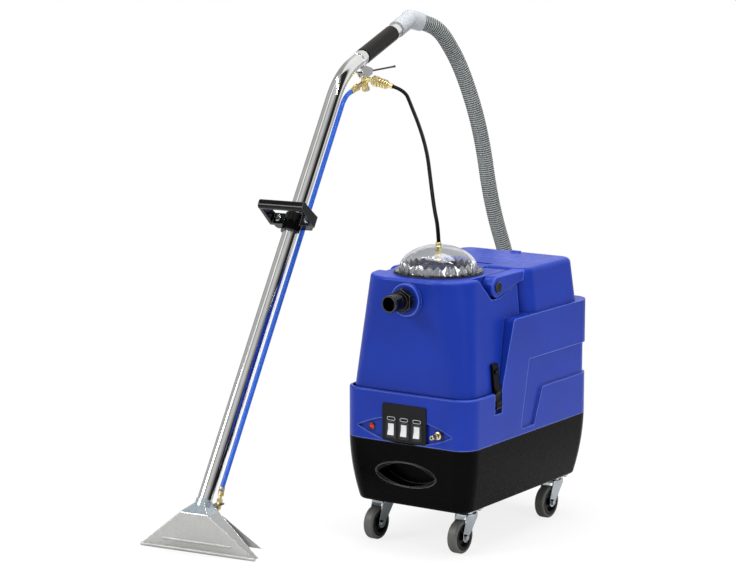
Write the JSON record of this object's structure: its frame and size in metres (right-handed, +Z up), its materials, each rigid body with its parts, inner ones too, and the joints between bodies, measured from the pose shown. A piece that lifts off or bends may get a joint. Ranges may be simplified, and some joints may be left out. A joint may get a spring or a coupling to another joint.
{
  "type": "carpet cleaner machine",
  "caption": "Wheeled portable carpet extractor: waste tank with clear dome, hinged rear hood, casters, and a steel floor wand on its vacuum and solution hoses.",
  "frame": {"origin": "centre of the footprint of everything but the free hoses, on the floor", "axes": "+Z up, -Y out of the machine's front, where the switches and the vacuum inlet are, +X to the machine's right-hand side"},
  "size_m": [0.8005, 1.4781, 1.2215],
  "materials": {
    "blue_plastic": "satin rotomoulded polyethylene",
    "black_plastic": "satin black polyethylene",
    "panel_black": "flat black printed plate, left bare",
    "black_gloss": "polished black",
    "white_plastic": "polished white",
    "red_lens": "clear red",
    "brass": "machined",
    "gasket_rubber": "matt",
    "clear_dome": "clear moulded polycarbonate",
    "black_rubber": "satin",
    "zinc": "bright zinc plate",
    "motor_metal": "satin",
    "aluminium": "cast",
    "stainless_bright": "polished stainless",
    "stainless_matt": "bead-blasted stainless with bright welds",
    "dark_bronze": "dark lacquer",
    "blue_line": "smooth nylon tubing",
    "black_grip": "glossy vinyl",
    "bolt_chrome": "polished",
    "black_metal": "gloss black",
    "cuff_plastic": "smooth pale blue-grey vinyl",
    "hose_plastic": "ribbed grey hose",
    "hub_plastic": "satin nylon",
    "tyre_grey": "grey rubber"
  },
  "bodies": {
    "machine": {"base_tub": "black_plastic", "body_shell": "blue_plastic", "control_plate": "panel_black", "switch_bezels": "black_gloss", "pilot_lamp": "red_lens", "solution_nipple": "brass", "power_inlet": "black_plastic", "recovery_tank": "blue_plastic", "vacuum_inlet": "black_plastic", "dome_gasket": "gasket_rubber", "dome_fitting": "brass", "float_cage": "white_plastic", "hinge_pins": "blue_plastic", "latch_anchors": "zinc", "latch_keepers": "black_plastic", "vacuum_motor": "motor_metal", "solution_pump": "motor_metal", "caster_plates": "zinc", "caster_bolts": "zinc", "wand_tube": "stainless_bright", "wand_head": "stainless_matt", "spray_shroud": "stainless_matt", "jet_bracket": "dark_bronze", "spray_jet": "brass", "wand_solution_line": "blue_line", "grip_sleeve": "black_grip", "d_handle": "black_gloss", "handle_clamp": "black_gloss", "clamp_bolts": "bolt_chrome", "valve_bracket": "zinc", "valve_body": "brass", "quick_coupler": "brass", "hose_cuff": "cuff_plastic", "vacuum_hose": "hose_plastic", "vacuum_hose_coil": "hose_plastic", "hose_end_cuff": "cuff_plastic", "solution_hose": "black_rubber"},
    "rear_hood": {"rear_hood": "blue_plastic"},
    "filler_lid": {"filler_lid": "blue_plastic"},
    "dome": {"dome_lid": "clear_dome"},
    "float": {"float_ball": "white_plastic"},
    "impeller": {"motor_impeller": "aluminium"},
    "rocker_left": {"rocker_1": "white_plastic"},
    "rocker_middle": {"rocker_2": "white_plastic"},
    "rocker_right": {"rocker_3": "white_plastic"},
    "trigger": {"trigger_lever": "black_metal"},
    "latch_right": {"latch_strap_right": "black_rubber"},
    "latch_left": {"latch_strap_left": "black_rubber"},
    "swivel_front_left": {"caster_fork_1": "zinc"},
    "wheel_front_left": {"caster_hub_1": "hub_plastic", "caster_tyre_1": "tyre_grey"},
    "swivel_front_right": {"caster_fork_2": "zinc"},
    "wheel_front_right": {"caster_hub_2": "hub_plastic", "caster_tyre_2": "tyre_grey"},
    "swivel_rear_left": {"caster_fork_3": "zinc"},
    "wheel_rear_left": {"caster_hub_3": "hub_plastic", "caster_tyre_3": "tyre_grey"},
    "swivel_rear_right": {"caster_fork_4": "zinc"},
    "wheel_rear_right": {"caster_hub_4": "hub_plastic", "caster_tyre_4": "tyre_grey"}
  },
  "joints": [
    {"name": "hood_hinge", "type": "hinge", "parent": "machine", "child": "rear_hood", "pos_m": [0.18489, -0.09016, 0.624], "axis": [1, 0, 0], "range_deg": [0, 40]},
    {"name": "filler_lid_hinge", "type": "hinge", "parent": "rear_hood", "child": "filler_lid", "pos_m": [0.18489, 0.13828, 0.6505], "axis": [1, 0, 0], "range_deg": [0, 100]},
    {"name": "dome_twist", "type": "hinge", "parent": "machine", "child": "dome", "pos_m": [0.18489, -0.12016, 0.654], "axis": [0, 0, 1], "range_deg": [-30, 30]},
    {"name": "float_rise", "type": "slide", "parent": "machine", "child": "float", "axis": [0, 0, 1], "range_m": [0, 0.024]},
    {"name": "impeller_spin", "type": "hinge", "parent": "machine", "child": "impeller", "pos_m": [0.18489, 0.14987, 0.1083], "axis": [0, 0, 1], "continuous": true},
    {"name": "rocker_left_tip", "type": "hinge", "parent": "machine", "child": "rocker_left", "pos_m": [0.14889, -0.26202, 0.291], "axis": [1, 0, 0], "range_deg": [0, 16]},
    {"name": "rocker_middle_tip", "type": "hinge", "parent": "machine", "child": "rocker_middle", "pos_m": [0.18489, -0.26202, 0.291], "axis": [1, 0, 0], "range_deg": [0, 16]},
    {"name": "rocker_right_tip", "type": "hinge", "parent": "machine", "child": "rocker_right", "pos_m": [0.22089, -0.26202, 0.291], "axis": [1, 0, 0], "range_deg": [0, 16]},
    {"name": "trigger_squeeze", "type": "hinge", "parent": "machine", "child": "trigger", "pos_m": [-0.30116, 0.29495, 1.07489], "axis": [0.9942, 0.1073, 0], "range_deg": [0, 14], "stiffness_Nm_per_rad": 0.6, "springref_deg": -20.05},
    {"name": "latch_right_swing", "type": "hinge", "parent": "machine", "child": "latch_right", "pos_m": [0.35819, -0.13301, 0.347], "axis": [0, 1, 0], "range_deg": [0, 90]},
    {"name": "latch_left_swing", "type": "hinge", "parent": "machine", "child": "latch_left", "pos_m": [0.01159, -0.13301, 0.347], "axis": [0, -1, 0], "range_deg": [0, 90]},
    {"name": "swivel_front_left_turn", "type": "hinge", "parent": "machine", "child": "swivel_front_left", "pos_m": [0.0659, -0.17822, 0.04], "axis": [0, 0, 1], "continuous": true},
    {"name": "wheel_front_left_spin", "type": "hinge", "parent": "swivel_front_left", "child": "wheel_front_left", "pos_m": [0.0659, -0.20722, 0.04], "axis": [1, 0, 0], "continuous": true},
    {"name": "swivel_front_right_turn", "type": "hinge", "parent": "machine", "child": "swivel_front_right", "pos_m": [0.30388, -0.17822, 0.04], "axis": [0, 0, 1], "continuous": true},
    {"name": "wheel_front_right_spin", "type": "hinge", "parent": "swivel_front_right", "child": "wheel_front_right", "pos_m": [0.30388, -0.20722, 0.04], "axis": [1, 0, 0], "continuous": true},
    {"name": "swivel_rear_left_turn", "type": "hinge", "parent": "machine", "child": "swivel_rear_left", "pos_m": [0.0659, 0.22778, 0.04], "axis": [0, 0, 1], "continuous": true},
    {"name": "wheel_rear_left_spin", "type": "hinge", "parent": "swivel_rear_left", "child": "wheel_rear_left", "pos_m": [0.0659, 0.19878, 0.04], "axis": [1, 0, 0], "continuous": true},
    {"name": "swivel_rear_right_turn", "type": "hinge", "parent": "machine", "child": "swivel_rear_right", "pos_m": [0.30388, 0.22778, 0.04], "axis": [0, 0, 1], "continuous": true},
    {"name": "wheel_rear_right_spin", "type": "hinge", "parent": "swivel_rear_right", "child": "wheel_rear_right", "pos_m": [0.30388, 0.19878, 0.04], "axis": [1, 0, 0], "continuous": true}
  ]
}
